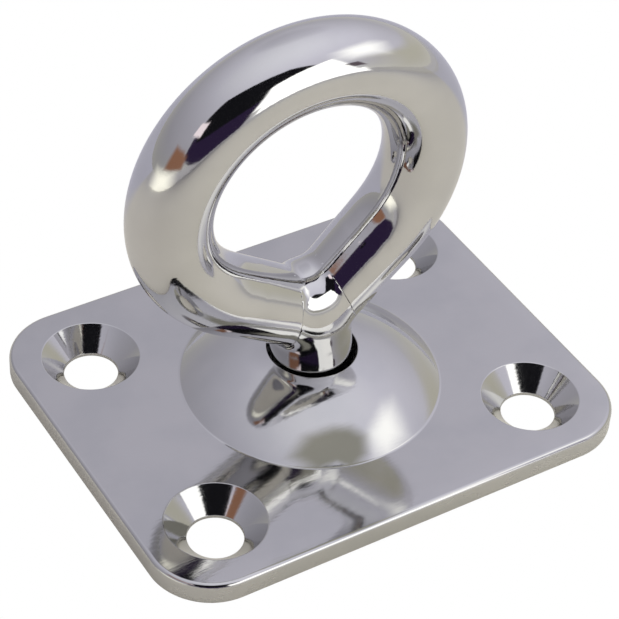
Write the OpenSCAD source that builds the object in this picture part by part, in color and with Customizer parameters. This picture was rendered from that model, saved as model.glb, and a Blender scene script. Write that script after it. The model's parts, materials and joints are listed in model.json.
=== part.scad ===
// Swivel pad eye: a screw-down plate with a pressed dome, and a ring that turns in the dome.
// Millimetres. Origin on the swivel axis at the plate's underside, +Z up, long side of the plate along X.

/* [Plate] */
// Length of the plate
plate_l = 50; // [40:1:70]
// Width of the plate
plate_w = 40; // [32:1:60]
// Thickness of the plate
plate_t = 2.5; // [2:0.1:4]
// Radius of the plate's corners, seen from above
corner_r = 6.25; // [3:0.25:10]
// Rounding of the plate's top and bottom edges
edge_r = 0.5; // [0.2:0.1:0.9]

/* [Screw holes] */
// Hole spacing along the length
hole_x = 35; // [28:0.5:50]
// Hole spacing along the width
hole_y = 25; // [20:0.5:40]
// Diameter of the holes
hole_d = 5.3; // [3.5:0.1:6.5]
// Diameter of the countersinks at the top face
sink_d = 9.6; // [7:0.1:11]

/* [Dome] */
// Diameter of the dome where it leaves the plate
dome_d = 25.4; // [22:0.1:28]
// Height of the dome's hole edge above the underside
dome_z = 6.45; // [5.5:0.05:8]
// Wall of the dome
dome_wall = 2.2; // [1.8:0.1:2.5]
// Small fillet round the foot of the dome
foot_r = 0.4; // [0.2:0.1:1]
// Diameter of the hole that the stud passes through
socket_d = 8.8; // [8.4:0.1:9.6]

/* [Ring] */
// Diameter of the ring's bar
bar_d = 7.8; // [6:0.1:9]
// Diameter of the round part of the ring's opening
ring_id = 18.2; // [14:0.1:24]
// Ring centre above the middle of the dome's hole
ring_h = 23.2; // [18:0.1:30]
// Distance from the ring centre down to where the two arms meet
arm_drop = 16.9; // [15:0.1:20]
// Diameter that the arms taper to where they meet
arm_d = 7.4; // [5:0.1:9]

/* [Stud] */
// Diameter of the stud's neck
neck_d = 8; // [6:0.1:8.4]
// Diameter of the rounded head of the stud between the arms
head_d = 8.2; // [7.8:0.1:9]
// Half width of the head where the arms are welded on
head_half = 2.45; // [2:0.05:3]
// Slope of the two flats on the head, width lost for each millimetre of height
head_slope = 0.3; // [0:0.05:0.5]
// Shoulder below the middle of the dome's hole
shoulder_drop = 2.9; // [2.6:0.1:3.2]
// Diameter of the spigot that holds the washer
spigot_d = 6; // [4:0.1:6.5]
// Height of the riveted end below the washer
rivet_h = 0.9; // [0.5:0.1:1]
// Diameter of the riveted end
rivet_d = 7.6; // [7:0.1:9]

/* [Washer] */
// Outer diameter of the retaining washer
washer_d = 12; // [11:0.1:12.2]
// Thickness of the retaining washer
washer_t = 1; // [0.8:0.1:1.1]

/* [Rest position] */
// Turn of the ring away from the plate's long side
eye_turn = -2; // [-180:1:180]
// Lean of the loose eye along the ring's plane
lean_side = 7.85; // [0:0.05:8]
// Lean of the loose eye across the ring's plane
lean_front = 2.6; // [0:0.1:3]

/* [Hidden] */
$fn = 96;
fit_gap = 0.02;                      // gap between the washer and the spigot
ring_r = (ring_id + bar_d) / 2;      // radius of the bar's centre line
arm_a = asin(ring_r / arm_drop);     // angle between each arm and the stud
arm_l = sqrt(arm_drop * arm_drop - ring_r * ring_r);
arm_lap = 0.4;                       // how far an arm runs into the round part of the ring
arm_step = 0.04;                     // how much thinner it is there, so that it stays inside
joint_h = ring_h - arm_drop;         // where the arms meet, above the middle of the dome's hole
rock_z = dome_z - dome_wall / 2 + 0.05;
// the dome is part of a sphere through its foot and the edge of its hole
dome_cz = (pow(socket_d / 2, 2) + dome_z * dome_z - pow(dome_d / 2, 2) - plate_t * plate_t)
          / (2 * (dome_z - plate_t));
dome_r = sqrt(pow(dome_d / 2, 2) + pow(plate_t - dome_cz, 2));
foot_z = plate_t + foot_r;
foot_x = sqrt(pow(dome_r + foot_r, 2) - pow(foot_z - dome_cz, 2));

// The loose eye stands in this frame: origin in the middle of the dome's hole, +Z along the stud.
module eye_pose() {
  translate([0, 0, rock_z]) rotate([0, 0, eye_turn])
    rotate([lean_front, 0, 0]) rotate([0, -lean_side, 0]) children();
}

// Cross-section of the plate's edge, w wide and plate_t high, with rounded edges
module edge_section(w) {
  translate([-w / 2 + edge_r, 0]) square([w - 2 * edge_r, plate_t]);
  translate([-w / 2, edge_r]) square([w, plate_t - 2 * edge_r]);
  for (x = [-1, 1], y = [edge_r, plate_t - edge_r])
    translate([x * (w / 2 - edge_r), y]) circle(edge_r);
}

module plate_blank() {
  straight_x = plate_l - 2 * corner_r;
  straight_y = plate_w - 2 * corner_r;
  rotate([90, 0, 90]) linear_extrude(straight_x, center = true) edge_section(plate_w);
  rotate([90, 0, 0]) linear_extrude(straight_y, center = true) edge_section(plate_l);
  for (x = [-1, 1], y = [-1, 1])
    translate([x * straight_x / 2, y * straight_y / 2])
      rotate_extrude() intersection() {
        edge_section(2 * corner_r);
        square([corner_r, plate_t]);
      }
}

// Outer skin of the dome down to the plate's top face, with the fillet at its foot
module dome_outside() {
  rotate_extrude() {
    intersection() {
      translate([0, dome_cz]) circle(dome_r);
      translate([0, plate_t / 2]) square([dome_d, dome_z]);
    }
    difference() {
      polygon([[0, plate_t / 2], [foot_x, plate_t / 2], [foot_x, plate_t],
               [foot_x * dome_r / (dome_r + foot_r),
                dome_cz + (foot_z - dome_cz) * dome_r / (dome_r + foot_r)],
               [0, plate_t]]);
      translate([foot_x, foot_z]) circle(foot_r);
    }
  }
}

module screw_hole() {
  sink_h = (sink_d - hole_d) / 2;
  translate([0, 0, -1]) cylinder(h = plate_t + 2, d = hole_d);
  translate([0, 0, plate_t - sink_h]) cylinder(h = sink_h, d1 = hole_d, d2 = sink_d);
  translate([0, 0, plate_t]) cylinder(h = 1, d = sink_d);
}

module base_plate() {
  color([0.78, 0.78, 0.80]) difference() {
    union() {
      plate_blank();
      dome_outside();
    }
    translate([0, 0, dome_cz]) sphere(dome_r - dome_wall);
    cylinder(h = 2 * dome_z, d = socket_d);
    for (x = [-1, 1], y = [-1, 1])
      translate([x * hole_x / 2, y * hole_y / 2]) screw_hole();
  }
}

// One straight arm of the ring, from where the arms meet out into the end of the round part
module arm(side) {
  translate([0, 0, joint_h]) rotate([0, side * arm_a, 0])
    cylinder(h = arm_l + arm_lap, d1 = arm_d, d2 = bar_d - arm_step);
}

// Space between the two sloping faces where the arms end on the stud's head
module head_wedge() {
  top = 10;
  low = 6;
  translate([0, 0, joint_h]) rotate([90, 0, 0]) linear_extrude(20, center = true)
    polygon([for (p = [[-1, -low], [1, -low], [1, top], [-1, top]])
             [p[0] * (head_half - head_slope * (p[1] - 3.2)), p[1]]]);
}

module eye_ring() {
  color([0.80, 0.80, 0.79]) eye_pose() difference() {
    union() {
      translate([0, 0, ring_h]) rotate([90, 0, 0]) rotate([0, 0, -arm_a])
        rotate_extrude(angle = 180 + 2 * arm_a) translate([ring_r, 0]) circle(d = bar_d);
      arm(1);
      arm(-1);
    }
    head_wedge();
  }
}

module swivel_stud() {
  color([0.80, 0.80, 0.79]) eye_pose() {
    // head between the arms
    intersection() {
      union() {
        arm(1);
        arm(-1);
        translate([0, 0, joint_h + 1.5]) sphere(d = head_d);
        translate([0, 0, joint_h - 5]) cylinder(h = 5, d = neck_d);
      }
      head_wedge();
    }
    // neck, spigot and riveted end
    difference() {
      translate([0, 0, -shoulder_drop]) cylinder(h = shoulder_drop + joint_h, d = neck_d);
      arm(1);
      arm(-1);
    }
    translate([0, 0, -shoulder_drop - washer_t]) cylinder(h = washer_t + 1, d = spigot_d);
    rivet_end();
  }
}

// Shallow rounded end, spread over the washer
module rivet_end() {
  r = (pow(rivet_d / 2, 2) + rivet_h * rivet_h) / (2 * rivet_h);
  translate([0, 0, -shoulder_drop - washer_t]) intersection() {
    translate([0, 0, r - rivet_h]) sphere(r);
    translate([0, 0, -rivet_h]) cylinder(h = rivet_h, d = rivet_d + 1);
  }
}

module retaining_washer() {
  color([0.70, 0.70, 0.72]) eye_pose() translate([0, 0, -shoulder_drop - washer_t + fit_gap])
    difference() {
      cylinder(h = washer_t - 2 * fit_gap, d = washer_d);
      translate([0, 0, -1]) cylinder(h = washer_t + 2, d = spigot_d + 2 * fit_gap);
    }
}

base_plate();
eye_ring();
swivel_stud();
retaining_washer();
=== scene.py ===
"""Looks of the swivel pad eye: finely meshed pieces, polished steel, and the studio round them.

The pieces and the camera are worked out in millimetres, which MM turns into metres, and the studio is
laid out in metres. The pieces stand where the CAD nodes that they replace stand.
"""
import json
import math

import bpy
import numpy as np
from mathutils import Matrix, Vector, geometry


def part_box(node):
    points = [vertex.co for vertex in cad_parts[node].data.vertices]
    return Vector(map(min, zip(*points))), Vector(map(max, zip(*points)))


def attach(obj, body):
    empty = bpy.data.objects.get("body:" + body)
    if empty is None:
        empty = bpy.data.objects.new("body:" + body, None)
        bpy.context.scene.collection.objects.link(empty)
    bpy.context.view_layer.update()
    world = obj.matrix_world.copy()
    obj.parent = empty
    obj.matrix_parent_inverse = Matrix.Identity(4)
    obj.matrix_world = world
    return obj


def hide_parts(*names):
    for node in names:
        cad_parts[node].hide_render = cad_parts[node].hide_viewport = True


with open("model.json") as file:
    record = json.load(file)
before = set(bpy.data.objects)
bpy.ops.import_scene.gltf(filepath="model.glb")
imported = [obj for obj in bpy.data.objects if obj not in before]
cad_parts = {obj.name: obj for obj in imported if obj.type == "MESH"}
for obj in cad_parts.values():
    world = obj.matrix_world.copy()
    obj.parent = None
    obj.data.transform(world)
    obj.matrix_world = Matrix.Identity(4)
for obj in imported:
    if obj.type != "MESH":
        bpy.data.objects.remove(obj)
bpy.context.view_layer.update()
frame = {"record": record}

MM = 0.001

# ---------------------------------------------------------------- sizes, in millimetres

MOUNTS = {mount["name"]: mount for mount in frame["record"]["mounts"]}
HOLES = MOUNTS["screw_holes"]["dims"]
PLATE_L, PLATE_W = (float(2 * side / MM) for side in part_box("base_plate")[1][:2])
PLATE_T = 2.5
CORNER_R = 6.25       # the plate's corners, seen from above
HOLE_X, HOLE_Y = HOLES["spacing_x_mm"] / 2, HOLES["spacing_y_mm"] / 2
HOLE_R = HOLES["hole_r_mm"]
SINK_R = 4.8          # countersinks, at the top face
DOME_R = 12.7         # the dome's foot, seen from above
DOME_Z = 6.45         # height of the edge of its hole
DOME_WALL = 2.2
FOOT_R = 0.45         # fillet round its foot
SOCKET_R = 4.4        # the hole that the stud passes through

BAR_R = 3.9           # the ring's bar
ARM_R = 3.7           # what its ends taper to at the joint
RING_R = 13.0         # the bar's centre line in the round part
RING_H = 23.2         # the ring's centre above the eye's origin
ARM_DROP = 16.9       # from the ring's centre down to the joint
NECK_R = 4.0
HEAD_R = 4.1
HEAD_RISE = 1.5       # the middle of the round head above the joint
HEAD_HALF = 2.45      # half its width between the two sloping flats ...
HEAD_LEVEL = 3.2      # ... at this height above the joint
HEAD_SLOPE = 0.3      # width that each flat loses for each millimetre of height
SHOULDER = -2.9       # the shoulder under the dome, from the eye's origin
SPIGOT_R = 3.0
RIVET_R = 3.8
RIVET_H = 0.9
WASHER_R = 6.0
WASHER_T = 1.0

JOINT_H = RING_H - ARM_DROP
ARM_SIN = RING_R / ARM_DROP
ARM_COS = math.sqrt(1 - ARM_SIN * ARM_SIN)
ROCK_Z = DOME_Z - DOME_WALL / 2 + 0.05
EYE_TURN, LEAN_SIDE, LEAN_FRONT = (math.radians(a) for a in (-2.0, 7.85, 2.6))

# The dome is part of a sphere through its foot and the edge of its hole.
DOME_CZ = (SOCKET_R ** 2 + DOME_Z ** 2 - DOME_R ** 2 - PLATE_T ** 2) / (2 * (DOME_Z - PLATE_T))
DOME_SPHERE = math.hypot(DOME_R, PLATE_T - DOME_CZ)


def eye_matrix():
    """Where the loose eye stands: origin in the middle of the dome's hole, +Z along the stud."""
    return (Matrix.Translation((0, 0, ROCK_Z)) @ Matrix.Rotation(EYE_TURN, 4, "Z")
            @ Matrix.Rotation(LEAN_FRONT, 4, "X") @ Matrix.Rotation(-LEAN_SIDE, 4, "Y"))


# ---------------------------------------------------------------- camera

PIXELS = 619          # side of the square image
CAMERA_TURN = (-33.63, 41.32, 3.90)     # azimuth, elevation and roll, in degrees
CAMERA_DISTANCE = 231.9
CAMERA_TARGET = Vector((6.57, 10.74, 0.0))
FOCAL_PX = 2265.3


def make_camera():
    """The photo's viewpoint, found by fitting the plate, its holes, the dome and the ring."""
    azimuth, elevation, roll = (math.radians(a) for a in CAMERA_TURN)
    back = Vector((math.sin(azimuth) * math.cos(elevation),
                   -math.cos(azimuth) * math.cos(elevation), math.sin(elevation)))
    right = Vector((math.cos(azimuth), math.sin(azimuth), 0))
    up = back.cross(right)
    right, up = (math.cos(roll) * right + math.sin(roll) * up,
                 math.cos(roll) * up - math.sin(roll) * right)
    data = bpy.data.cameras.new("photo_camera")
    data.sensor_width = 36
    data.lens = data.sensor_width * FOCAL_PX / PIXELS
    data.clip_start, data.clip_end = 0.01, 20
    camera = bpy.data.objects.new("photo_camera", data)
    bpy.context.collection.objects.link(camera)
    turn = Matrix((right, up, back)).transposed().to_4x4()
    spot = CAMERA_TARGET + CAMERA_DISTANCE * back
    camera.matrix_world = Matrix.Translation(spot * MM) @ turn
    bpy.context.scene.camera = camera


# ---------------------------------------------------------------- mesh building

class Skin:
    """Collects loops of points with their true surface normals, and the faces between them."""

    def __init__(self):
        self.points, self.normals, self.faces = [], [], []

    def loop(self, points, normals):
        start = len(self.points)
        self.points.extend(tuple(map(float, p)) for p in points)
        self.normals.extend(tuple(map(float, n)) for n in normals)
        return list(range(start, len(self.points)))

    def strip(self, a, b):
        for i in range(len(a)):
            j = (i + 1) % len(a)
            self.faces.append((a[i], a[j], b[j], b[i]))

    def strips(self, loops):
        for a, b in zip(loops, loops[1:]):
            self.strip(a, b)

    def cap(self, loop, point, normal):
        """Closes a loop with a fan of triangles round one point."""
        tip = self.loop([point], [normal])[0]
        for i, a in enumerate(loop):
            self.faces.append((a, loop[(i + 1) % len(loop)], tip))


def mesh_object(name, skin, matrix=Matrix()):
    """Makes a Blender object of a skin, with the skin's own normals."""
    mesh = bpy.data.meshes.new(name)
    turn = matrix.to_3x3()
    points = [MM * (matrix @ Vector(p)) for p in skin.points]
    mesh.from_pydata(points, [], skin.faces)
    mesh.validate()
    mesh.polygons.foreach_set("use_smooth", [True] * len(mesh.polygons))
    normals = [(turn @ Vector(n)).normalized() for n in skin.normals]
    mesh.normals_split_custom_set_from_vertices(normals)
    piece = bpy.data.objects.new(name, mesh)
    bpy.context.collection.objects.link(piece)
    return piece


def arc(cx, cz, r, start, end, steps):
    """Points and outward normals of an arc in the profile's plane, angles in degrees."""
    out = []
    for i in range(steps + 1):
        a = math.radians(start + (end - start) * i / steps)
        out.append((cx + r * math.cos(a), cz + r * math.sin(a), math.cos(a), math.sin(a)))
    return out


def hollow(rows):
    """The same profile with its normals turned round, for a surface that curves inward."""
    return [(x, z, -nx, -nz) for x, z, nx, nz in rows]


def lathe_loops(skin, profile, centre=(0, 0), segments=256):
    """One loop round a vertical axis for each (r, z, outward normal r, z) of the profile."""
    angles = [2 * math.pi * i / segments for i in range(segments)]
    loops = []
    for r, z, nr, nz in profile:
        loops.append(skin.loop(
            [(centre[0] + r * math.cos(a), centre[1] + r * math.sin(a), z) for a in angles],
            [(nr * math.cos(a), nr * math.sin(a), nz) for a in angles]))
    return loops


# ---------------------------------------------------------------- plate

CORNER_STEPS = 24
EDGE_R = 0.5          # tight rounding of the edge
EDGE_STEPS = 10
ROLL_W = 2.2          # width of the soft polished slope inside it
ROLL_DROP = 0.035     # how far that slope falls
ROLL_STEPS = 12
UNDER_STEPS = 6       # for the rounding of the lower edge
FLAT_PITCH = 1.1      # spacing of the points inside the plate's flat faces


def plate_outline(inset, z, tilt):
    """The rounded rectangle, inset from the plate's side. tilt is the normal's angle from +Z outward."""
    r = CORNER_R - inset
    outward, upward = math.sin(tilt), math.cos(tilt)
    points, normals = [], []
    straight_x, straight_y = PLATE_L / 2 - CORNER_R, PLATE_W / 2 - CORNER_R
    corners = [(1, 1), (-1, 1), (-1, -1), (1, -1)]
    sides = [int(2 * straight_y), int(2 * straight_x)] * 2
    for k, (sx, sy) in enumerate(corners):
        turn = [math.radians(90 * k + 90 * i / CORNER_STEPS) for i in range(CORNER_STEPS + 1)]
        corner = [(sx * straight_x + r * math.cos(a), sy * straight_y + r * math.sin(a), z) for a in turn]
        points += corner
        normals += [(outward * math.cos(a), outward * math.sin(a), upward) for a in turn]
        nx, ny = corners[(k + 1) % 4]
        a = turn[-1]
        ahead = (nx * straight_x + r * math.cos(a), ny * straight_y + r * math.sin(a), z)
        steps = sides[(k + 1) % 4]
        for i in range(1, steps):
            points.append(tuple(c + (d - c) * i / steps for c, d in zip(corner[-1], ahead)))
            normals.append(normals[-1])
    return points, normals


def roll_profile():
    """Inset, height and tilt from the middle of the side, up over the edge and in to the flat."""
    slope = 2 * ROLL_DROP / ROLL_W
    steep = math.pi / 2 - math.atan(slope)
    rows = []
    for i in range(EDGE_STEPS + 1):
        a = steep * i / EDGE_STEPS
        rows.append((EDGE_R * (1 - math.cos(a)), EDGE_R * math.sin(a), math.pi / 2 - a))
    inset, height = rows[-1][:2]
    for i in range(1, ROLL_STEPS + 1):
        t = i / ROLL_STEPS
        run = (ROLL_W - inset) * t
        rise = 2 * ROLL_DROP * (t - t * t / 2) * (ROLL_W - inset) / ROLL_W
        rows.append((inset + run, height + rise, math.atan(slope * (1 - t))))
    lift = PLATE_T - rows[-1][1]
    side = (0.0, PLATE_T / 2, math.pi / 2)
    return [side] + [(x, z + lift, tilt) for x, z, tilt in rows]


def bottom_profile():
    """The same for the underside, with a plain rounding and no slope inside it."""
    rows = []
    for i in range(UNDER_STEPS + 1):
        a = math.pi / 2 * i / UNDER_STEPS
        rows.append((EDGE_R * (1 - math.cos(a)), EDGE_R * (1 - math.sin(a)), math.pi / 2 + a))
    return rows


def dome_profile():
    """From the plate's top face up over the dome, down its hole and out again under the dome."""
    lip = 0.1         # rounding of the hole's upper rim
    burr = 0.06       # bevel of its lower rim
    mouth = 0.6       # rounding of the hollow's edge in the plate's underside
    inner = DOME_SPHERE - DOME_WALL

    foot_z = PLATE_T + FOOT_R
    foot_x = math.sqrt((DOME_SPHERE + FOOT_R) ** 2 - (foot_z - DOME_CZ) ** 2)
    toe = math.degrees(math.atan2(foot_z - DOME_CZ, foot_x))
    fillet = hollow(arc(foot_x, foot_z, FOOT_R, 270, 180 + toe, 8))

    lip_x = SOCKET_R + lip
    lip_z = DOME_CZ + math.sqrt((DOME_SPHERE - lip) ** 2 - lip_x ** 2)
    crown = math.degrees(math.atan2(lip_z - DOME_CZ, lip_x))
    over = arc(0, DOME_CZ, DOME_SPHERE, toe, crown, 48)
    edge = arc(lip_x, lip_z, lip, crown, 180, 8)

    in_x = SOCKET_R + burr
    in_z = DOME_CZ + math.sqrt(inner ** 2 - in_x ** 2)
    in_crown = math.degrees(math.atan2(in_z - DOME_CZ, in_x))
    wall = [(SOCKET_R, in_z + burr, -1, 0)]

    mouth_x = math.sqrt((inner + mouth) ** 2 - (mouth - DOME_CZ) ** 2)
    in_toe = math.degrees(math.atan2(mouth - DOME_CZ, mouth_x))
    under = hollow(arc(0, DOME_CZ, inner, in_crown, in_toe, 32))
    rim = arc(mouth_x, mouth, mouth, 180 + in_toe, 270, 8)
    return fillet[:-1] + over + edge[1:] + wall + under + rim[1:]


def hole_profile():
    """From the plate's top face down one countersunk hole to the underside."""
    lip = 0.16        # rounding of the countersink's rim
    low_lip = 0.12    # rounding of the hole's lower rim
    ease_up, ease_down = 0.05, 0.03     # how the cone's foot is eased into the hole
    cone_foot = PLATE_T - (SINK_R - HOLE_R)
    top = arc(SINK_R + lip * math.tan(math.radians(22.5)), PLATE_T - lip, lip, 90, 135, 5)
    foot = [(HOLE_R + ease_up, cone_foot + ease_up, -math.sqrt(0.5), math.sqrt(0.5)),
            (HOLE_R, cone_foot - ease_down, -1, 0)]
    bottom = arc(HOLE_R + low_lip, low_lip, low_lip, 180, 270, 4)
    return top + foot + bottom


def inner_points(keep):
    """Points in staggered rows over the plate, where keep allows them."""
    rows, columns = int(PLATE_W / FLAT_PITCH) + 1, int(PLATE_L / FLAT_PITCH) + 1
    points = []
    for row in range(rows):
        for column in range(columns):
            x = (column - columns / 2 + 0.5 * (row % 2)) * FLAT_PITCH
            y = (row - rows / 2) * FLAT_PITCH
            if keep(x, y, FLAT_PITCH / 2):
                points.append(Vector((x, y)))
    return points


def flat_between(skin, loops, keep, z, normal):
    """A clean triangle mesh of a flat face between an outline loop and the round loops in it."""
    owners = [i for loop in loops for i in loop]
    points = [Vector(skin.points[i][:2]) for i in owners] + inner_points(keep)
    edges, start = [], 0
    for loop in loops:
        edges += [(start + i, start + (i + 1) % len(loop)) for i in range(len(loop))]
        start += len(loop)
    result = geometry.delaunay_2d_cdt(points, edges, [], 0, 1e-5)
    places, triangles, origins = result[0], result[2], result[3]
    index = []
    for place, origin in zip(places, origins):
        known = [owners[o] for o in origin if o < len(owners)]
        index.append(known[0] if known else skin.loop([(place.x, place.y, z)], [normal])[0])
    for triangle in triangles:
        middle = sum((places[i] for i in triangle), Vector((0, 0))) / 3
        if keep(middle.x, middle.y, 0):
            face = [index[i] for i in triangle]
            skin.faces.append(face if normal[2] > 0 else face[::-1])


def inside_plate(x, y, inset):
    """Whether a point lies inside the plate's outline, inset by that much."""
    over_x = max(abs(x) - (PLATE_L / 2 - CORNER_R), 0)
    over_y = max(abs(y) - (PLATE_W / 2 - CORNER_R), 0)
    return math.hypot(over_x, over_y) < CORNER_R - inset


def flat_test(places, dome_r, hole_r, inset):
    """A test for points of a flat face: inside the outline, clear of the dome and of the holes."""
    def keep(x, y, room):
        if not inside_plate(x, y, inset + room) or math.hypot(x, y) < dome_r + room:
            return False
        return all(math.hypot(x - px, y - py) > hole_r + room for px, py in places)
    return keep


def make_plate():
    """The plate with its pressed dome and four countersunk holes, as one closed skin."""
    skin = Skin()
    top = [skin.loop(*plate_outline(*row)) for row in roll_profile()]
    bottom = [skin.loop(*plate_outline(*row)) for row in bottom_profile()]
    skin.strips(top)
    skin.strips(bottom[::-1] + [top[0]])
    dome_rows, hole_rows = dome_profile(), hole_profile()
    dome = lathe_loops(skin, dome_rows)
    places = [(sx * HOLE_X, sy * HOLE_Y) for sx in (-1, 1) for sy in (-1, 1)]
    holes = [lathe_loops(skin, hole_rows, place, 144) for place in places]
    for loops in [dome] + holes:
        skin.strips(loops)

    on_top = flat_test(places, dome_rows[0][0], hole_rows[0][0], ROLL_W)
    flat_between(skin, [top[-1], dome[0]] + [hole[0] for hole in holes], on_top, PLATE_T, (0, 0, 1))
    below = flat_test(places, dome_rows[-1][0], hole_rows[-1][0], EDGE_R)
    flat_between(skin, [bottom[-1], dome[-1]] + [hole[-1] for hole in holes], below, 0.0, (0, 0, -1))
    return mesh_object("plate_skin", skin)


# ---------------------------------------------------------------- ring and stud

JOINT = np.array([0.0, 0.0, JOINT_H])
ARM_L = math.sqrt(ARM_DROP ** 2 - RING_R ** 2)
ARM_REACH = 1.6       # how far a straight arm's line runs on past its length, as a factor
NECK_LOW = -8.0       # where the neck's line starts, well below the dome
WELD_BLEND = 1.0      # how far the arms, the neck and the head flow into each other
WELD_REACH = 9.0      # how far from the joint, along the bar, its skin follows that blended surface
RAY_END = 9.0         # longest way from a middle line to that surface
OVERRUN = 5.0         # how far past the joint the bar's end is looked for
SINK_IN = 0.5         # how far the stud's hidden sides reach into the bar's ends
SEAM_R = 0.035        # rounding of the two edges that meet at a weld line, where it is deepest
SEAM_START = 1.8      # how far in front of the bar's middle a weld line starts to show
SEAM_FADE = 1.6       # and over how much more it comes to its full depth
HALVINGS = 34         # steps of each search for a surface


def smooth_least(a, b, reach):
    """The lesser of two distances, with the corner between them rounded off."""
    mix = np.maximum(reach - np.abs(a - b), 0) / reach
    return np.minimum(a, b) - mix ** 3 * reach / 6


def to_segment(p, a, b):
    """Distance from points to a straight line between two points, and how far along it they are."""
    line = b - a
    t = np.clip(((p - a) @ line) / (line @ line), 0, 1)
    return np.linalg.norm(p - a - t[..., None] * line, axis=-1), t


def arm_distance(p, side):
    """Distance to the bar's straight arm on that side, which narrows a little towards the joint."""
    end = JOINT + ARM_L * ARM_REACH * np.array([side * ARM_SIN, 0, ARM_COS])
    away, t = to_segment(p, JOINT, end)
    return away - (ARM_R + (BAR_R - ARM_R) * np.minimum(t * ARM_REACH, 1))


def eye_distance(p):
    """Distance to the surface round the weld, where two arms, the neck and the stud's head meet."""
    arms = smooth_least(arm_distance(p, -1), arm_distance(p, 1), WELD_BLEND)
    neck = to_segment(p, np.array([0.0, 0.0, NECK_LOW]), JOINT)[0] - NECK_R
    head = np.linalg.norm(p - JOINT - np.array([0, 0, HEAD_RISE]), axis=-1) - HEAD_R
    return smooth_least(arms, smooth_least(neck, head, WELD_BLEND), WELD_BLEND)


def past_flat(p):
    """How far points lie outside the sloping flat on the +X side of the stud's head."""
    over = p[..., 0] - HEAD_HALF + HEAD_SLOPE * (p[..., 2] - JOINT_H - HEAD_LEVEL)
    return over / math.hypot(1, HEAD_SLOPE)


def seam_radius(p):
    """The weld lines show on the bar's front (-Y) and are dressed smooth elsewhere."""
    front = np.clip((-p[..., 1] - SEAM_START) / SEAM_FADE, 0, 1)
    return SEAM_R * (0.1 + 0.9 * front * front * (3 - 2 * front))


def gradient(field, p, step=0.004):
    """The direction in which a distance field grows: the surface's outward normal."""
    parts = []
    for axis in range(3):
        shift = np.zeros(3)
        shift[axis] = step
        parts.append(field(p + shift) - field(p - shift))
    g = np.stack(parts, axis=-1)
    return g / np.linalg.norm(g, axis=-1, keepdims=True)


def along_ray(field, start, direction, near):
    """Where rays leave the solid: the distance at which the field turns from inside to outside."""
    low = np.full(start.shape[:-1], float(near))
    high = np.full(start.shape[:-1], RAY_END)
    for _ in range(HALVINGS):
        middle = (low + high) / 2
        inside = field(start + middle[..., None] * direction) < 0
        low, high = np.where(inside, middle, low), np.where(inside, high, middle)
    return (low + high) / 2


class RingPath:
    """The bar's centre line from the top of the ring down one side to the joint and a little past it."""

    STEP = 0.05
    BEFORE, PAST = 6, 8       # how far the line runs on before the top and past the joint
    SOFT = 1.2                # how gently the curve of the ring runs out into the straight arm
    SOFT_REACH = 4            # half the width of the window that softens it
    EASE_UP, EASE_RUN = 12, 14    # the stretch that takes up the miss at the joint

    def __init__(self):
        self.arc_length = RING_R * (math.pi / 2 + math.asin(ARM_SIN))
        self.length = self.arc_length + ARM_L
        s = np.arange(-self.BEFORE, self.length + self.PAST, self.STEP)
        angle = self.heading(s)
        x, z = np.cumsum(np.cos(angle)) * self.STEP, -np.cumsum(np.sin(angle)) * self.STEP
        x -= np.interp(0, s, x)
        z += RING_H + RING_R - np.interp(0, s, z)
        miss_x = -np.interp(self.length, s, x)
        miss_z = JOINT_H - np.interp(self.length, s, z)
        ease = np.clip((s - self.arc_length + self.EASE_UP) / self.EASE_RUN, 0, 1)
        ease = ease * ease * (3 - 2 * ease)
        self.s, self.x, self.z, self.angle = s, x + miss_x * ease, z + miss_z * ease, angle

    def heading(self, s):
        """The line's downward angle: it grows evenly round the ring and stays the same along the arm."""
        bend = np.where(s < self.arc_length, 1 / RING_R, 0.0)
        reach = np.arange(-self.SOFT_REACH, self.SOFT_REACH, self.STEP)
        window = np.exp(-0.5 * (reach / self.SOFT) ** 2)
        bend = np.convolve(np.pad(bend, len(window), mode="edge"), window / window.sum(), "same")
        angle = np.cumsum(bend[len(window):-len(window)]) * self.STEP
        return angle - np.interp(0, s, angle)

    def at(self, s):
        """Points of the line at those lengths from the top, and the ring's outward direction there."""
        x, z = np.interp(s, self.s, self.x), np.interp(s, self.s, self.z)
        angle = np.interp(s, self.s, self.angle)
        centre = np.stack([x, np.zeros_like(x), z], axis=-1)
        outward = np.stack([np.sin(angle), np.zeros_like(x), np.cos(angle)], axis=-1)
        return centre, outward


def bar_points(path, s, turn):
    """Points on the bar's skin at lengths s along the path and angles turn round it."""
    centre, outward = path.at(s)
    side = np.array([0.0, 1.0, 0.0])
    ray = np.cos(turn)[..., None] * outward + np.sin(turn)[..., None] * side
    arm_t = np.clip((path.length - s) / ARM_L, 0, 1)
    radius = ARM_R + (BAR_R - ARM_R) * arm_t
    near = path.length - s < WELD_REACH
    if np.any(near):
        radius = np.where(near, along_ray(eye_distance, centre, ray, near=1.0), radius)
    return centre + radius[..., None] * ray, ray


def weld_line(path, turn):
    """How far along the path the bar's skin meets the stud's head, at angles turn round the bar."""
    low = np.full(turn.shape, path.length - WELD_REACH)
    high = np.full(turn.shape, path.length + OVERRUN)
    for _ in range(HALVINGS):
        middle = (low + high) / 2
        skin_point = bar_points(path, middle, turn)[0]
        outside = past_flat(skin_point) > seam_radius(skin_point)
        low, high = np.where(outside, middle, low), np.where(outside, high, middle)
    return (low + high) / 2


def bar_normals(path, s, points, ray):
    """The skin's normals: from the blended surface near the weld, from the points' slopes elsewhere."""
    across = np.roll(points, -1, axis=1) - np.roll(points, 1, axis=1)
    along = np.gradient(points, axis=0)
    along[0] = [1, 0, 0]
    normals = np.cross(across, along)
    normals /= np.linalg.norm(normals, axis=-1, keepdims=True)
    normals *= np.sign((normals * ray).sum(-1, keepdims=True))
    near = path.length - s < WELD_REACH - 1
    return np.where(near[..., None], gradient(eye_distance, points), normals)


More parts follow.
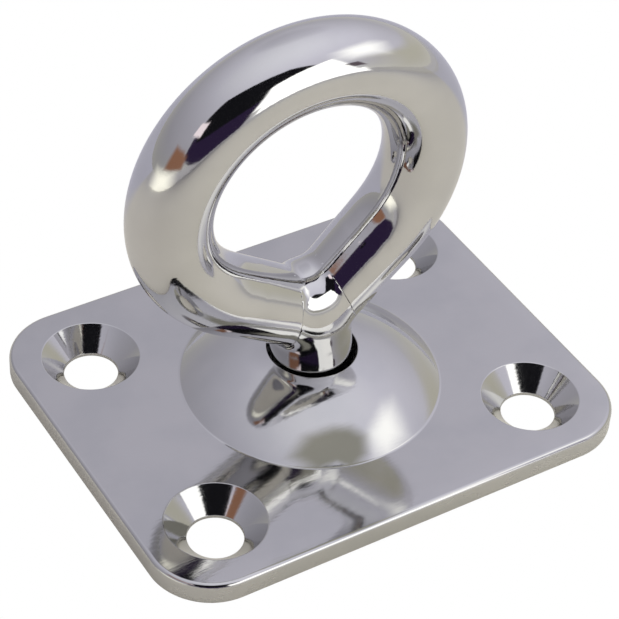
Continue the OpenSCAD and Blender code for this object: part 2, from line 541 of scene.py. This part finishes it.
def add_seam_lip(points, normals, inward, steps=4):
    """Adds the loops that round the bar's end over, in towards the stud's head."""
    end, slope = points[-1], normals[-1]
    seam = seam_radius(end)[:, None]
    for i in range(1, steps + 1):
        a = math.pi / 2 * i / steps
        lip = end + seam * (math.sin(a) * inward - (1 - math.cos(a)) * slope)
        tilt = math.cos(a) * slope + math.sin(a) * inward
        tilt = tilt / np.linalg.norm(tilt, axis=-1, keepdims=True)
        points = np.concatenate([points, lip[None]])
        normals = np.concatenate([normals, tilt[None]])
    return points, normals


def make_ring(path, around=112, step=0.33, weld_rows=34):
    """One half of the bar, from the top to the weld line, and its mirror image."""
    turn = np.arange(around) * 2 * math.pi / around
    base = path.length - (WELD_REACH - 0.5)
    count = int(base / step)
    end = weld_line(path, turn)
    rows = [np.full(around, base * i / count) for i in range(count + 1)]
    rows += [base + (end - base) * i / weld_rows for i in range(1, weld_rows + 1)]
    s = np.stack(rows)
    points, ray = bar_points(path, s, np.broadcast_to(turn, s.shape))
    inward = np.array([-1, 0, -HEAD_SLOPE]) / math.hypot(1, HEAD_SLOPE)
    points, normals = add_seam_lip(points, bar_normals(path, s, points, ray), inward)

    skin = Skin()
    mirror = np.array([-1, 1, 1])
    right = [skin.loop(p, n) for p, n in zip(points, normals)]
    left = [right[0]] + [skin.loop(p * mirror, n * mirror) for p, n in zip(points[1:], normals[1:])]
    skin.strips([loop[::-1] for loop in right])
    skin.strips(left)
    middle = points[-1].mean(axis=0)
    skin.cap(right[-1][::-1], middle, inward)
    skin.cap(left[-1], middle * mirror, inward * mirror)
    return mesh_object("ring_bar", skin, eye_matrix())


def stud_distance(p):
    """The stud's head: flush with the ring up to the weld line, and let into the bar's ends past it."""
    past = np.maximum(past_flat(p), past_flat(p * np.array([-1, 1, 1])))
    seam = seam_radius(p)
    sink = np.clip((past + seam) / seam, 0, 3)
    return np.maximum(eye_distance(p) + 0.5 * seam * sink ** 2, past - SINK_IN)


def stud_profile():
    """From the riveted end's tip up to the neck: radius, height and outward normal."""
    low = SHOULDER - WASHER_T
    r = (RIVET_R ** 2 + RIVET_H ** 2) / (2 * RIVET_H)
    ball_z = low - RIVET_H + r
    lip = 0.12
    rim_x = math.sqrt((r - lip) ** 2 - (low - lip - ball_z) ** 2)
    lean = math.degrees(math.atan2(low - lip - ball_z, rim_x))
    rivet = arc(0, ball_z, r, -88, lean, 14)
    edge = arc(rim_x, low - lip, lip, lean, 90, 6)[1:]
    nick = 0.05
    spigot = [(SPIGOT_R + nick, low, 0, 1), (SPIGOT_R, low + nick, 1, 0),
              (SPIGOT_R, SHOULDER - nick, 1, 0), (SPIGOT_R + nick, SHOULDER, 0, -1)]
    bevel = 0.25
    shoulder = arc(NECK_R - bevel, SHOULDER + bevel, bevel, 270, 360, 6)
    return rivet + edge + spigot + shoulder


def stud_rays(around, neck_rows, head_rows):
    """Rays from the stud's middle: level ones up the neck, then a fan over the head."""
    turn = np.arange(around) * 2 * math.pi / around
    level = np.stack([np.cos(turn), np.sin(turn), np.zeros(around)], axis=-1)
    drop = 5.0        # how far below the joint they start, where the neck is still plain
    starts, rays = [], []
    for i in range(neck_rows):
        starts.append([0, 0, JOINT_H - drop + (drop + HEAD_RISE) * i / (neck_rows - 1)])
        rays.append(level)
    for i in range(1, head_rows):
        a = math.pi / 2 * i / head_rows
        starts.append([0, 0, JOINT_H + HEAD_RISE])
        rays.append(level * math.cos(a) + np.array([0, 0, math.sin(a)]))
    return np.repeat(np.array(starts, float)[:, None], around, axis=1), np.stack(rays)


def make_stud(around=168):
    """The stud, lathed up to the neck and found by rays from there to the top of its head."""
    start, ray = stud_rays(around, neck_rows=45, head_rows=40)
    points = start + along_ray(stud_distance, start, ray, near=0.5)[..., None] * ray
    normals = gradient(stud_distance, points)
    middle = np.array([[[0, 0, JOINT_H + HEAD_RISE]]])
    up = np.array([[[0.0, 0.0, 1.0]]])
    tip = middle + along_ray(stud_distance, middle, up, near=0.5)[..., None] * up
    skin = Skin()
    lower = lathe_loops(skin, stud_profile(), segments=around)
    upper = [skin.loop(p, n) for p, n in zip(points, normals)]
    skin.strips(lower + upper)
    skin.cap(upper[-1], tip[0, 0], (0, 0, 1))
    skin.cap(lower[0][::-1], (0, 0, SHOULDER - WASHER_T - RIVET_H), (0, 0, -1))
    return mesh_object("stud_skin", skin, eye_matrix())


def make_washer():
    """The washer, a hair clear of the shoulder, the riveted end and the spigot."""
    gap, edge = 0.02, 0.15
    low, high = SHOULDER - WASHER_T + gap, SHOULDER - gap
    bore = SPIGOT_R + gap
    outside = (arc(WASHER_R - edge, low + edge, edge, -90, 0, 5)
               + arc(WASHER_R - edge, high - edge, edge, 0, 90, 5))
    inside = [(bore + edge, high, 0, 1), (bore, high - edge, -1, 0),
              (bore, low + edge, -1, 0), (bore + edge, low, 0, -1)]
    skin = Skin()
    loops = lathe_loops(skin, outside + inside, segments=128)
    skin.strips(loops + [loops[0]])
    return mesh_object("washer_disc", skin, eye_matrix())


# ---------------------------------------------------------------- materials

class Nodes:
    """A material's or world's node tree, with short ways to add nodes and join them."""

    def __init__(self, tree):
        self.tree = tree
        tree.nodes.clear()

    def add(self, kind, **settings):
        node = self.tree.nodes.new("ShaderNode" + kind)
        for key, value in settings.items():
            setattr(node, key, value)
        return node

    def feed(self, node, **inputs):
        """Sets a node's inputs, or joins them to another node's sockets.

        An input goes by its name with _ for a space, or by _ and its number.
        """
        for key, value in inputs.items():
            socket = node.inputs[int(key[1:])] if key[1:].isdigit() else node.inputs[key.replace("_", " ")]
            if isinstance(value, bpy.types.NodeSocket):
                self.tree.links.new(value, socket)
            else:
                socket.default_value = value
        return node

    def noise(self, place, scale, detail=2.0):
        node = self.feed(self.add("TexNoise"), Vector=place, Scale=scale, Detail=detail)
        return node.outputs["Fac"]

    def spread(self, value, low, high, to_low, to_high):
        node = self.add("MapRange", interpolation_type="SMOOTHSTEP")
        self.feed(node, Value=value, From_Min=low, From_Max=high, To_Min=to_low, To_Max=to_high)
        return node.outputs[0]

    def blend(self, amount, a, b):
        node = self.add("Mix", data_type="RGBA")
        self.feed(node, Factor=amount, _6=a, _7=b)
        return node.outputs[2]

    def maths(self, operation, a, b=0.0):
        return self.feed(self.add("Math", operation=operation), _0=a, _1=b).outputs[0]


def new_material(name):
    material = bpy.data.materials.new(name)
    material.use_nodes = True
    return material, Nodes(material.node_tree)


CLOUD_SCALE = 140     # noise scales, per metre: drifts of tone and gloss,
MARK_SCALE = 4500     # fine polishing marks,
SWELL_SCALE = 260     # and the slow unevenness of the polish
MARK_STRETCH = (0.18, 1.0, 1.0)     # the marks run along X
NOISE_SPAN = (0.35, 0.65)           # the part of the noise's range that is used
UPRIGHT = (0.35, 0.66)              # a normal's height: below the first a face counts as upright


def polished_steel(name, tones, gloss, wave, grain, side_gloss=0.0):
    """Polished stainless steel.

    tones: its two near shades; gloss: least and most roughness; wave: height of the slow unevenness
    of the polish in metres; grain: height of the fine polishing marks in metres; side_gloss: roughness
    added on upright faces, such as the plate's tumbled edge.
    """
    material, nodes = new_material(name)
    place = nodes.add("TexCoord").outputs["Object"]
    drawn = nodes.feed(nodes.add("Mapping"), Vector=place, Scale=MARK_STRETCH).outputs[0]
    cloud = nodes.noise(place, CLOUD_SCALE, 3)
    marks = nodes.noise(drawn, MARK_SCALE, 2)
    swell = nodes.noise(place, SWELL_SCALE, 1)
    shade_a, shade_b = ((*tone, 1) for tone in tones)
    colour = nodes.blend(nodes.spread(cloud, *NOISE_SPAN, 0, 1), shade_a, shade_b)
    mixed = nodes.maths("ADD", nodes.maths("MULTIPLY", cloud, 0.5), nodes.maths("MULTIPLY", marks, 0.5))
    rough = nodes.spread(mixed, *NOISE_SPAN, *gloss)
    if side_gloss:
        facing = nodes.feed(nodes.add("SeparateXYZ"), Vector=nodes.add("NewGeometry").outputs["Normal"])
        side = nodes.spread(nodes.maths("ABSOLUTE", facing.outputs[2]), *UPRIGHT, side_gloss, 0)
        rough = nodes.maths("ADD", rough, nodes.maths("MULTIPLY", side, nodes.maths("ADD", cloud, 0.5)))
    slow = nodes.feed(nodes.add("Bump"), Height=swell, Distance=wave, Strength=1.0)
    fine = nodes.feed(nodes.add("Bump"), Height=marks, Distance=grain, Strength=1.0,
                      Normal=slow.outputs[0])
    shader = nodes.feed(nodes.add("BsdfPrincipled"), Metallic=1.0, Base_Color=colour,
                        Roughness=rough, Normal=fine.outputs[0])
    nodes.feed(nodes.add("OutputMaterial"), Surface=shader.outputs[0])
    return material


# ---------------------------------------------------------------- studio

ROOM_H = 0.02         # height the room's cards are laid out from, in metres

WHITE = (1.0, 1.0, 0.98)
CREAM = (1.0, 0.98, 0.86)
ROSE = (1.0, 0.88, 0.92)
WARM = (0.62, 0.60, 0.51)
OLIVE = (0.41, 0.40, 0.35)
BROWN = (0.32, 0.16, 0.10)
DARK_ROSE = (0.14, 0.11, 0.13)
DARK_PURPLE = (0.028, 0.017, 0.05)
BLACK = (0.008, 0.008, 0.01)


def towards(azimuth, elevation, distance):
    """A point seen from the ring at that compass direction (0 = +Y, 90 = +X) and height angle."""
    a, e = math.radians(azimuth), math.radians(elevation)
    way = Vector((math.sin(a) * math.cos(e), math.cos(a) * math.cos(e), math.sin(e)))
    return way * distance + Vector((0, 0, ROOM_H))


def card_material(name, colour, strength, below_only):
    """A glow that fades out towards the card's rim."""
    material, nodes = new_material(name)
    cover = nodes.spread(nodes.add("Attribute", attribute_name="cover").outputs["Fac"], 0, 1, 0, 1)
    if below_only:
        cover = nodes.maths("MULTIPLY", cover, nodes.add("NewGeometry").outputs["Backfacing"])
    glow = nodes.feed(nodes.add("Emission"), Color=(*colour, 1), Strength=strength)
    mix = nodes.feed(nodes.add("MixShader"), _0=cover, _1=nodes.add("BsdfTransparent").outputs[0],
                     _2=glow.outputs[0])
    nodes.feed(nodes.add("OutputMaterial"), Surface=mix.outputs[0])
    return material


def room_card(name, outline, distance, colour, strength, soft):
    """A card that stands in the room, its outline given as directions seen from the ring."""
    card(name, [towards(a, e, distance) for a, e in outline], colour, strength, soft)


def card(name, rim, colour, strength, soft, below_only=False):
    """A soft-edged card, reflected by the steel and not seen by the camera.

    With below_only, its rim runs counterclockwise seen from above, and it can't be seen from there.
    """
    middle = sum(rim, Vector()) / len(rim)
    inner = [middle + (p - middle) * (1 - soft) for p in rim]
    count = len(rim)
    faces = []
    for i in range(count):
        j = (i + 1) % count
        faces += [(i, j, count + j, count + i), (count + i, count + j, 2 * count)]
    mesh = bpy.data.meshes.new(name)
    mesh.from_pydata(rim + inner + [middle], [], faces)
    cover = mesh.attributes.new("cover", "FLOAT", "POINT")
    cover.data.foreach_set("value", [0.0] * count + [1.0] * (count + 1))
    mesh.materials.append(card_material(name, colour, strength, below_only))
    board = bpy.data.objects.new(name, mesh)
    bpy.context.collection.objects.link(board)
    board.visible_camera = False
    board.visible_shadow = False


FLOOR_SIZE = 3.0      # half its side, in metres
FLOOR_Z = -5e-5       # a hair below the plate, in metres
# painted pool of light: the floor's tone near the object, lighter and warmer than further out
FLOOR_LIGHT_POOL = (0.95, 0.92, 0.78)
FLOOR_FAR = (0.72, 0.71, 0.66)
FLOOR_BEHIND = (0.78, 0.78, 0.82)
FAR_SPAN = (0.05, 0.32)             # distances over which the painted pool of light near the object fades to the far tone
BEHIND_WAY = (0.37, 0.93, 0)        # roughly away from the camera
BEHIND_SPAN = (0.022, 0.045)        # distances that way over which the third tone comes in


def make_floor():
    """A pale table, which the camera sees as plain white and the steel as a soft warm tone, with a painted
    pool of light that is lighter and warmer near the object.
    """
    mesh = bpy.data.meshes.new("floor")
    corners = [(x * FLOOR_SIZE, y * FLOOR_SIZE, FLOOR_Z) for x, y in ((-1, -1), (1, -1), (1, 1), (-1, 1))]
    mesh.from_pydata(corners, [], [(0, 1, 2, 3)])
    material, nodes = new_material("floor")
    spot = nodes.add("TexCoord").outputs["Object"]
    reach = nodes.feed(nodes.add("VectorMath", operation="LENGTH"), _0=spot).outputs["Value"]
    ahead = nodes.feed(nodes.add("VectorMath", operation="DOT_PRODUCT"), _0=spot, _1=BEHIND_WAY)
    # painted pool of light: the lit near tone fades to the far tone with distance from the object
    far = nodes.spread(reach, *FAR_SPAN, 0, 1)
    tone = nodes.blend(far, (*FLOOR_LIGHT_POOL, 1), (*FLOOR_FAR, 1))
    behind = nodes.spread(ahead.outputs["Value"], *BEHIND_SPAN, 0, 1)
    tone = nodes.blend(behind, tone, (*FLOOR_BEHIND, 1))
    pale = nodes.feed(nodes.add("BsdfDiffuse"), Color=tone)
    white = nodes.feed(nodes.add("Emission"), Color=(1, 1, 1, 1), Strength=1.0)
    seen = nodes.feed(nodes.add("MixShader"), _0=nodes.add("LightPath").outputs["Is Camera Ray"],
                      _1=pale.outputs[0], _2=white.outputs[0])
    nodes.feed(nodes.add("OutputMaterial"), Surface=seen.outputs[0])
    mesh.materials.append(material)
    floor = bpy.data.objects.new("floor", mesh)
    bpy.context.collection.objects.link(floor)


# The surroundings' tone, from the horizon and below (0) to overhead (1).
SKY_STOPS = [(0.0, (0.62, 0.61, 0.59)), (0.09, (0.57, 0.56, 0.57)), (0.26, (0.54, 0.53, 0.59)),
             (0.5, (0.62, 0.61, 0.69)), (0.77, (0.74, 0.73, 0.83)), (1.0, (0.90, 0.90, 0.98))]
SIDE_LIGHT = (0.26, -0.12)                # how much lighter towards +X and +Y
DIM_WAY = (0.272, 0.611, 0.743)           # a direction that is darker
DIM_SPAN, DIM_DEPTH = (0.93, 0.995), -0.15


def make_world():
    """A large soft lilac-grey surrounding, lighter overhead and a little lighter to one side."""
    world = bpy.data.worlds.new("studio")
    world.use_nodes = True
    bpy.context.scene.world = world
    nodes = Nodes(world.node_tree)
    direction = nodes.add("TexCoord").outputs["Generated"]
    way = nodes.feed(nodes.add("SeparateXYZ"), Vector=direction)
    ramp = nodes.feed(nodes.add("ValToRGB"), Fac=way.outputs[2])
    elements = ramp.color_ramp.elements
    while len(elements) < len(SKY_STOPS):
        elements.new(0.5)
    for element, (height, colour) in zip(elements, SKY_STOPS):
        element.position = height
        element.color = (*colour, 1)
    side = nodes.maths("ADD", nodes.maths("MULTIPLY", way.outputs[0], SIDE_LIGHT[0]),
                       nodes.maths("MULTIPLY", way.outputs[1], SIDE_LIGHT[1]))
    nearness = nodes.feed(nodes.add("VectorMath", operation="DOT_PRODUCT"), _0=direction, _1=DIM_WAY)
    dim = nodes.spread(nearness.outputs["Value"], *DIM_SPAN, 0.0, DIM_DEPTH)
    strength = nodes.maths("ADD", nodes.maths("ADD", side, dim), 1.0)
    back = nodes.feed(nodes.add("Background"), Color=ramp.outputs[0], Strength=strength)
    nodes.feed(nodes.add("OutputWorld"), Surface=back.outputs[0])


def make_windows():
    """A high window, a low one, and the low one's sill close to the object."""
    room_card("window_high", [(90, 33), (118, 22), (152, 26), (158, 38), (149, 55), (122, 54), (96, 45)],
              distance=0.145, colour=WHITE, strength=1.65, soft=0.9)
    room_card("window_low", [(147, 6), (187, 6), (188, 34), (166, 39), (156, 39), (148, 40)],
              distance=0.28, colour=WHITE, strength=1.9, soft=0.15)
    room_card("window_sill", [(146, 13), (190, 13), (190, 21.5), (146, 21.5)],
              distance=0.07, colour=WHITE, strength=1.9, soft=0.15)


def make_dark_shapes():
    """The large dark shape beside the windows, in two parts, and a dim strip before the low window."""
    room_card("dark_high",
              [(158, 37), (172, 34), (188, 17), (236, 17), (246, 36), (240, 49), (205, 55), (175, 52),
               (160, 42)],
              distance=0.30, colour=BLACK, strength=1.0, soft=0.12)
    room_card("dark_low",
              [(184, -4), (210, -3), (224, 2), (240, 10), (244, 24), (232, 34), (190, 34), (184, 26)],
              distance=0.31, colour=DARK_PURPLE, strength=1.0, soft=0.12)
    room_card("dark_strap", [(142, 12), (149, 12), (151, 22), (143, 22)],
              distance=0.26, colour=DARK_ROSE, strength=1.0, soft=0.4)


def make_coloured_cards():
    """The light, brown and rose patches to the left, the warm wall, and a dim sheet over the dome that
    paints shade into its reflection.
    """
    room_card("light_strip", [(224, -8), (292, -15), (292, 8), (262, 10), (236, 6)],
              distance=0.27, colour=CREAM, strength=1.6, soft=0.9)
    room_card("brown_strip", [(234, 10), (248, 12), (270, 13), (270, 29), (248, 25), (236, 19)],
              distance=0.083, colour=BROWN, strength=1.0, soft=0.45)
    room_card("rose_strip", [(232, 22), (250, 27), (250, 36), (234, 34)],
              distance=0.25, colour=ROSE, strength=1.2, soft=0.3)
    room_card("warm_wall", [(40, -6), (152, -6), (148, 26), (100, 24), (55, 12)],
              distance=0.62, colour=WARM, strength=1.0, soft=0.9)
    # A dim olive sheet just over the dome, seen only from below and only in reflections: painted shade in
    # the dome's reflection.
    cover_z = 16
    cover = [(-12, -20), (-4, -21), (1, -26), (6.5, -22), (7.5, -16), (3.5, -12), (-1, -10.2),
             (-9, -9.2), (-16, -12.5)]
    card("dome_shade_sheet", [Vector((x, y, cover_z)) * MM for x, y in cover],
         colour=OLIVE, strength=1.0, soft=0.5, below_only=True)


# ---------------------------------------------------------------- pieces in place

def stand_in(piece, node, body, material):
    """Has a piece stand for a CAD node, ride on a body and take a material."""
    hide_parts(node)
    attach(piece, body)
    piece.data.materials.append(material)


make_camera()
plate_steel = polished_steel("plate_polish", tones=((0.55, 0.55, 0.55), (0.59, 0.585, 0.58)),
                             gloss=(0.06, 0.09), wave=6e-6, grain=2.4e-6, side_gloss=0.18)
ring_steel = polished_steel("ring_polish", tones=((0.61, 0.605, 0.60), (0.65, 0.645, 0.64)),
                            gloss=(0.04, 0.07), wave=6e-6, grain=1.4e-6)
washer_steel = polished_steel("washer_finish", tones=((0.50, 0.49, 0.48), (0.58, 0.57, 0.56)),
                              gloss=(0.22, 0.36), wave=4e-6, grain=2e-6)
stand_in(make_plate(), "base_plate", "plate", plate_steel)
stand_in(make_ring(RingPath()), "eye_ring", "eye", ring_steel)
stand_in(make_stud(), "swivel_stud", "eye", ring_steel)
stand_in(make_washer(), "retaining_washer", "eye", washer_steel)
make_world()
make_floor()
make_windows()
make_dark_shapes()
make_coloured_cards()
bpy.context.scene.view_settings.view_transform = "Standard"
